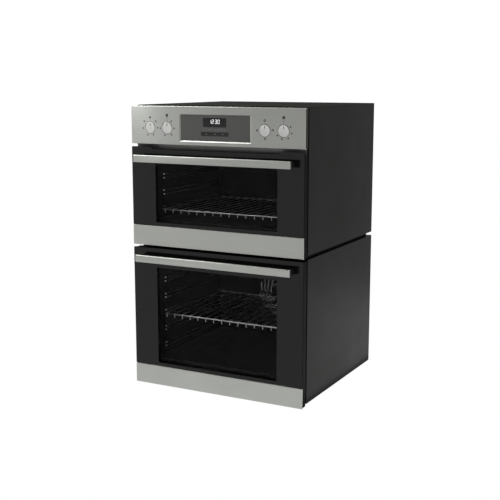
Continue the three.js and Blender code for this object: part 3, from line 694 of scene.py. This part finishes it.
# Seven-segment digits; width and height are of one digit, in millimetres.
def add_digit(bm, digit, x, z, width, height, stroke):
    middle = z + height / 2
    top = z + height
    right = x + width

    def bar(x0, z0, x1, z1):
        lean0 = (z0 - z) * DIGIT_SLANT
        lean1 = (z1 - z) * DIGIT_SLANT
        along = Vector((x1 + lean1 - x0 - lean0, z1 - z0)).normalized()
        across = Vector((-along.y, along.x)) * stroke / 2
        start = Vector((x0 + lean0, z0)) + along * stroke * 0.6
        stop = Vector((x1 + lean1, z1)) - along * stroke * 0.6
        shape = [start - along * stroke * 0.45, start + across, stop + across,
                 stop + along * stroke * 0.45, stop - across, start - across]
        front = [bm.verts.new(point(p.x, SCREEN_DEPTH - DIGIT_RAISE, p.y)) for p in shape]
        rear = [bm.verts.new(point(p.x, SCREEN_DEPTH - DIGIT_SINK, p.y)) for p in shape]
        bm.faces.new(front)
        bm.faces.new(list(reversed(rear)))
        for k in range(6):
            bm.faces.new((front[k], rear[k], rear[(k + 1) % 6], front[(k + 1) % 6]))

    lines = {
        "a": (x, top, right, top),
        "b": (right, middle, right, top),
        "c": (right, z, right, middle),
        "d": (x, z, right, z),
        "e": (x, z, x, middle),
        "f": (x, middle, x, top),
        "g": (x, middle, right, middle),
    }
    for letter in SEGMENTS[digit]:
        bar(*lines[letter])


CLOCK_TIME = (("1", -19.4), ("2", -10.6), ("3", 0), ("0", 9.2))
DIGIT_SIZE = {"z": 838.2, "width": 5.6, "height": 11.4, "stroke": 1.1}
COLON = (-4.4, -3.4)


def clock_digits():
    bm = bmesh.new()
    for digit, x in CLOCK_TIME:
        add_digit(bm, digit, x, **DIGIT_SIZE)
    front, rear = SCREEN_DEPTH - DIGIT_RAISE, SCREEN_DEPTH - DIGIT_SINK
    for z in (840.8, 846.2):
        add_box(bm, point(COLON[0], front, z), point(COLON[1], rear, z + 1.2), 0)
    piece("clock_digits", bm, DIGITS, "casing", angle=20)


def touch_marks():
    bm = bmesh.new()
    for x in (-33, -22, -11, 0, 11, 22, 33):
        add_plate(bm, [circle(x, 820.2, 1.4, 16)], SCREEN_DEPTH - 0.05, 0.15, 0.03)
    for x in (-30, 0, 28):
        dash = rounded_rectangle(x - 3, x + 3, 806.4, 807.4, 0.4, 3)
        add_plate(bm, [dash], SCREEN_DEPTH - 0.18, 0.1, 0.02)
    piece("touch_marks", bm, GREY_INK, "casing")


# ---- knobs ---------------------------------------------------------------------------------
def knob(name, x):
    centre = point(x, 0, KNOB_Z)
    profile = [(0, -0.3), (9, -0.4), (14.2, -0.7), (15.6, -1.0), (16.6, -0.8), (17.2, -0.3),
               (17.5, 0.5), (17.5, 16), (6, 16), (6, 30), (3.6, 30), (3.6, 1.3), (0, 1.3)]
    bm = bmesh.new()
    add_lathe(bm, profile, centre, segments=72)
    piece(name + "_cap", bm, KNOB, name + "_knob", [name + "_knob"], angle=50)
    bm = bmesh.new()
    add_box(bm, point(x - 0.8, -0.95, KNOB_Z + 5.5), point(x + 0.8, -0.2, KNOB_Z + 14.5), 0.15)
    piece(name + "_pointer", bm, INK, name + "_knob")
    bm = bmesh.new()
    add_lathe(bm, [(17.9, 0.9), (17.9, 6.0), (18.65, 6.0), (18.65, 0.9), (17.9, 0.9)], centre,
              segments=72)
    piece(name + "_well", bm, PLASTIC, "casing")


def add_print(bm, outlines):
    """Ink on the fascia's face: a very thin plate."""
    add_plate(bm, outlines, -0.06, 0.1, 0)


def add_symbol(bm, x, z, size, inner):
    """A small framed square with a bar inside, like an oven mode symbol."""
    half = size / 2
    outer = rounded_rectangle(x - half, x + half, z - half, z + half, 0.6, 3)
    rim = half - 1.4
    hole = rounded_rectangle(x - rim, x + rim, z - rim, z + rim, 0.3, 2)
    add_print(bm, [outer, hole])
    if inner == "top":
        add_print(bm, [rounded_rectangle(x - rim, x + rim, z + 0.2, z + 1.2, 0.2, 2)])
    if inner == "bottom":
        add_print(bm, [rounded_rectangle(x - rim, x + rim, z - 1.2, z - 0.2, 0.2, 2)])
    if inner == "round":
        add_print(bm, [circle(x, z, 0.9, 14)])


# Printed marks round each knob: degrees clockwise from the top, distance, size and inner shape.
KNOB_PRINTS = {
    -228: ((-49, 28.5, 5.5, "top"), (47, 28, 5.5, "round"), (90, 26.5, 4.5, "bottom"),
           (152, 24.5, 4.5, "round"), (203, 24, 4.5, "top"), (265, 26.5, 4.5, "bottom")),
    -167: ((37, 25.5, 4.5, "round"), (93, 25.5, 4.5, "top"), (141, 25.5, 4.5, "round"),
           (200, 24, 4.5, "bottom"), (267, 24.5, 4, "round")),
    167: ((-90, 24.5, 6, "bottom"), (86, 26.5, 6, "top"), (177, 23.5, 6, "round")),
    228: ((61, 25, 4.5, "round"), (104, 26, 4.5, "top"), (144, 25, 4.5, "round"),
          (194, 23.5, 4.5, "bottom"), (237, 24, 4.5, "round")),
}
BADGE_X = (KNOB_X[1], KNOB_X[3])
SYMBOL_Z = 851


def fascia_prints():
    bm = bmesh.new()
    for x, marks in KNOB_PRINTS.items():
        for degrees, distance, size, kind in marks:
            turn = math.radians(degrees)
            place = (x + distance * math.sin(turn), KNOB_Z + distance * math.cos(turn))
            add_symbol(bm, *place, size, kind)
        add_print(bm, [circle(x, KNOB_Z + 23, 0.9, 16)])
    add_print(bm, [circle(KNOB_X[0], 853, 3.2, 24)])
    add_symbol(bm, KNOB_X[2], SYMBOL_Z, 6.5, "top")
    piece("fascia_prints", bm, INK, "casing", angle=10)
    bm = bmesh.new()
    for x in BADGE_X:
        add_print(bm, [rounded_rectangle(x - 4.2, x + 4.2, 856, 864.4, 0.8, 3)])
    piece("fascia_badges", bm, INK, "casing", angle=10)
    bm = bmesh.new()
    for x in BADGE_X:
        add_symbol(bm, x, SYMBOL_Z, 5, "bottom")
    piece("badge_symbols", bm, GREY_INK, "casing", angle=10)


# ---- doors ---------------------------------------------------------------------------------
DOORS = {
    "upper": {"bottom": 454, "top": 763, "window_top": 720, "handle": 728.25, "recess": 7},
    "lower": {"bottom": 0.5, "top": 446, "window_top": 385, "handle": 415.5, "recess": 0},
}
TRIM_HEIGHT = 63
WINDOW_HALF = 210
WINDOW_BOTTOM = 75
HANDLE_HALF = 268
DOOR_FRONT = -3
DOOR_HALF = 296
HANDLE_HEIGHT = 22
HANDLE_REACH = 35
POST_LENGTH = 25


def glass_outline(door):
    bottom = door["bottom"] + TRIM_HEIGHT + 0.3
    top = door["top"]
    outline = rounded_rectangle(-DOOR_HALF, DOOR_HALF, bottom, top, 3, 4)
    if not door["recess"]:
        return outline
    notch = [(224, top), (217, top - door["recess"]), (-217, top - door["recess"]), (-224, top)]
    corner = next(k for k, (x, z) in enumerate(outline) if x < 0 and z > top - 0.01)
    return outline[:corner] + notch + outline[corner:]


def outer_glass(name, door):
    body = name + "_door"
    window = (-WINDOW_HALF, WINDOW_HALF, door["bottom"] + WINDOW_BOTTOM, door["window_top"])
    bm = bmesh.new()
    add_plate(bm, [glass_outline(door), rounded_rectangle(*window, 2)], DOOR_FRONT, 4, 0.3)
    # Only the glass's front face is glossy black glass; its edges and back take a matte black
    # without gloss, painted shade that keeps the cut edges dark.
    for face in bm.faces:
        face.material_index = 0 if face.normal.y < -0.99 else 1
    piece(name + "_glass_border", bm, [BLACK_GLASS, EDGE_BLACK], body, [name + "_outer_glass"])
    bm = bmesh.new()
    add_plate(bm, [rounded_rectangle(*window, 2)], DOOR_FRONT + 0.02, 3.9, 0)
    piece(name + "_glass_window", bm, WINDOW, body, [name + "_outer_glass"])


def door_trim(name, door):
    bottom = door["bottom"]
    bm = bmesh.new()
    top = bottom + TRIM_HEIGHT
    profile = folded_edge(top - 1.5, bottom, DOOR_FRONT, 4)
    inside = DOOR_FRONT + SHEET + 0.6
    crown = [(inside, top), (DOOR_FRONT + 1.3, top), (DOOR_FRONT + 0.4, top - 0.7)]
    add_profile(bm, [*crown, *profile], -DOOR_HALF, DOOR_HALF)
    piece(name + "_trim_sheet", bm, STEEL, name + "_door", [name + "_door_trim"])


def handle(name, door):
    body = name + "_door"
    z = door["handle"]
    low, high = z - HANDLE_HEIGHT / 2, z + HANDLE_HEIGHT / 2
    front, back, bevel = DOOR_FRONT - HANDLE_REACH, DOOR_FRONT - POST_LENGTH, 2.4
    section = [(back, low), (front + 0.8, low), (front, low + 0.8), (front, high - bevel - 0.4)]
    for i in range(5):
        turn = math.pi / 2 * i / 4
        section.append((front + bevel * (1 - math.cos(turn)), high - bevel * (1 - math.sin(turn))))
    section.append((back, high))
    bm = bmesh.new()
    add_profile(bm, section, -HANDLE_HALF, HANDLE_HALF)
    ends = [edge for edge in bm.edges if abs(abs(edge.verts[0].co.x) - HANDLE_HALF * MM) < 1e-6
            and abs(edge.verts[0].co.x - edge.verts[1].co.x) < 1e-6]
    bmesh.ops.bevel(bm, geom=ends, offset=0.3 * MM, segments=2, profile=0.5, affect="EDGES")
    piece(name + "_handle_grip", bm, STEEL, body, [name + "_handle_bar"])
    for side, way in SIDES:
        x = way * (HANDLE_HALF - 11)
        bm = bmesh.new()
        add_plate(bm, [rounded_rectangle(x - 8, x + 8, z - 9, z + 9, 3)], back + 0.3, 24.4, 0.6)
        piece(f"{name}_{side}_standoff", bm, PLASTIC, body, [f"{name}_handle_{side}_post"])


# ---- inside the ovens ----------------------------------------------------------------------
# Distances from the middle plane of the rungs, of the uprights behind them and of the shelf's side.
RUNG_X = 232.4
UPRIGHT_X = 235.4
SHELF_HALF = 229.5
OVEN_WIRES = {
    "upper": {"rungs": (556, 608, 660), "level": 0},
    "lower": {"rungs": (108, 162, 216, 270, 324), "level": 2},
}
RUNG_FRONT = 78
SHELF_FRONT = 62
WIRE_BACK = 432
RUNG_PAIR = 12
SHELF_WIRES = 16
SHELF_PITCH = 29


def shelf_supports(name, wires):
    rungs = wires["rungs"]
    low = rungs[0] - 8
    high = rungs[-1] + RUNG_PAIR + 8
    for side, way in SIDES:
        bm = bmesh.new()
        for depth in (RUNG_FRONT + 4, WIRE_BACK - 4):
            x = way * UPRIGHT_X
            add_tube(bm, [point(x, depth, low), point(x, depth, high)], 2 * MM)
        # The uprights take the dark enamel rather than chrome: painted shade, which keeps them as
        # dark as wires in shadow.
        for face in bm.faces:
            face.material_index = 1
        for rung in rungs:
            for z in (rung, rung + RUNG_PAIR):
                ends = [point(way * RUNG_X, depth, z) for depth in (RUNG_FRONT, WIRE_BACK)]
                add_tube(bm, ends, 2 * MM)
        # The rung tips take the light knob silver rather than chrome: a painted highlight, which
        # makes the rungs' front ends read as bright dots.
        tips = bmesh.new()
        for rung in rungs:
            for z in (rung, rung + RUNG_PAIR):
                dome = [(0, -2.4), (1.3, -2.0), (2.2, -1.0), (2.4, 0), (2.2, 1.0), (0, 1.2)]
                add_lathe(tips, dome, point(way * RUNG_X, RUNG_FRONT + 1, z), segments=16)
        piece(f"{name}_{side}_rung_tips", tips, KNOB, "casing", angle=60)
        piece(f"{name}_{side}_rungs", bm, [CHROME, ENAMEL], "casing",
              [f"{name}_{side}_shelf_support"], angle=60)


def wire_shelf(name, wires):
    z = wires["rungs"][wires["level"]] + 4.8
    front, back, half = SHELF_FRONT + 3.2, WIRE_BACK + 6, SHELF_HALF
    bm = bmesh.new()
    corners = [point(0, front, z), point(half, front, z), point(half, back, z),
               point(-half, back, z), point(-half, front, z), point(0, front, z)]
    add_tube(bm, rounded_route(corners, 6 * MM), 1.8 * MM)
    for i in range(SHELF_WIRES):
        x = (i - (SHELF_WIRES - 1) / 2) * SHELF_PITCH
        top = z + 3.2
        tip = front - 3.2
        turned = [point(x, back + 1, top), point(x, tip, top), point(x, tip, z - 10.5)]
        add_tube(bm, rounded_route(turned, 3 * MM), 1.2 * MM, 8)
    body = name + "_wire_shelf"
    piece(name + "_wires", bm, SHELF_WIRE, body, [body], angle=60)


FAN_Z = 235
GUARD_FACE = 448.2
# The radius where each ring of louvres starts, and how many there are in it.
LOUVRE_RINGS = ((32, 6), (44, 8), (56, 10), (68, 12))


# Bright curved lips in rings on the fan guard; their light knob silver is a painted highlight for
# the glint on the pressed edges. They do not follow its slots one by one.
def fan_louvres():
    bm = bmesh.new()
    for radius, count in LOUVRE_RINGS:
        sweep = 2 * math.pi / count
        for i in range(count):
            route = []
            for step in range(7):
                share = step / 6
                turn = sweep * (i + 0.8 * share)
                reach = radius + 9 * share
                spot = (reach * math.cos(turn), GUARD_FACE, FAN_Z - reach * math.sin(turn))
                route.append(point(*spot))
            add_tube(bm, route, 1.6 * MM, 8)
    piece("fan_louvres", bm, KNOB, "casing", angle=60)


# ---- casing details ------------------------------------------------------------------------
def add_screw(bm, centre, radius):
    """A domed screw head, facing backwards."""
    profile = [(radius, 0), (radius, 0.6), (radius * 0.8, 1.3), (radius * 0.4, 1.6), (0, 1.7)]
    add_lathe(bm, [(0, 0), *profile], centre, 20)


COVER_SCREW_X = 281
COVER_SCREW_DEPTH = 564.3


def casing_screws():
    bm = bmesh.new()
    for low, high in ((470, 874), (20, 434)):
        for _, way in SIDES:
            for z in (low, (low + high) / 2, high):
                add_screw(bm, point(way * COVER_SCREW_X, COVER_SCREW_DEPTH, z), 2.8)
    piece("casing_screws", bm, ZINC, "casing", angle=40)


# The strip's front, back and bottom, and half the width of its bright middle.
STRIP_FRONT = 22.6
STRIP_BACK = 23.8
STRIP_BOTTOM = 754
STRIP_HALF = 216


# A pressed strip that closes the cooling-air outlet between the fascia and the upper door.
def vent_strip():
    bm = bmesh.new()
    add_box(bm, point(-STRIP_HALF, STRIP_FRONT, STRIP_BOTTOM),
            point(STRIP_HALF, STRIP_BACK, 772.5), 0.4)
    piece("vent_strip", bm, STRIP, "casing")
    # The ends sit in the shade under the ends of the fascia; their light grey is painted light,
    # standing in for the light that makes the gap dark grey rather than black.
    bm = bmesh.new()
    for way in (-1, 1):
        low, high = sorted((way * (STRIP_HALF + 0.4), way * 291))
        add_box(bm, point(low, STRIP_FRONT, STRIP_BOTTOM), point(high, STRIP_BACK, 771), 0.4)
    piece("vent_strip_ends", bm, PAINTED_LIGHT_STRIP_END, "casing")


TERMINAL_X = 200
GLAND_DEPTH = 552
GLAND_RADIUS = 9.4
GLAND_RIBS = 10


def terminal_details():
    bm = bmesh.new()
    for x in (TERMINAL_X - 32, TERMINAL_X + 32):
        add_screw(bm, point(x, 563.3, 511), 3.0)
    piece("terminal_screws", bm, ZINC, "casing", angle=40)
    bm = bmesh.new()
    for k in range(GLAND_RIBS):
        turn = 2 * math.pi * k / GLAND_RIBS
        x = TERMINAL_X + GLAND_RADIUS * math.cos(turn)
        depth = GLAND_DEPTH + GLAND_RADIUS * math.sin(turn)
        add_box(bm, point(x - 0.9, depth - 0.9, 466.4), point(x + 0.9, depth + 0.9, 473.5), 0.3)
    piece("gland_ribs", bm, PLASTIC, "casing")


dress_cad_nodes()
fascia()
display()
for knob_name, knob_x in zip(KNOBS, KNOB_X):
    knob(knob_name, knob_x)
fascia_prints()
for oven_name, oven_door in DOORS.items():
    outer_glass(oven_name, oven_door)
    door_trim(oven_name, oven_door)
    handle(oven_name, oven_door)
for oven_name, oven_wires in OVEN_WIRES.items():
    shelf_supports(oven_name, oven_wires)
    wire_shelf(oven_name, oven_wires)
fan_louvres()
casing_screws()
vent_strip()
terminal_details()
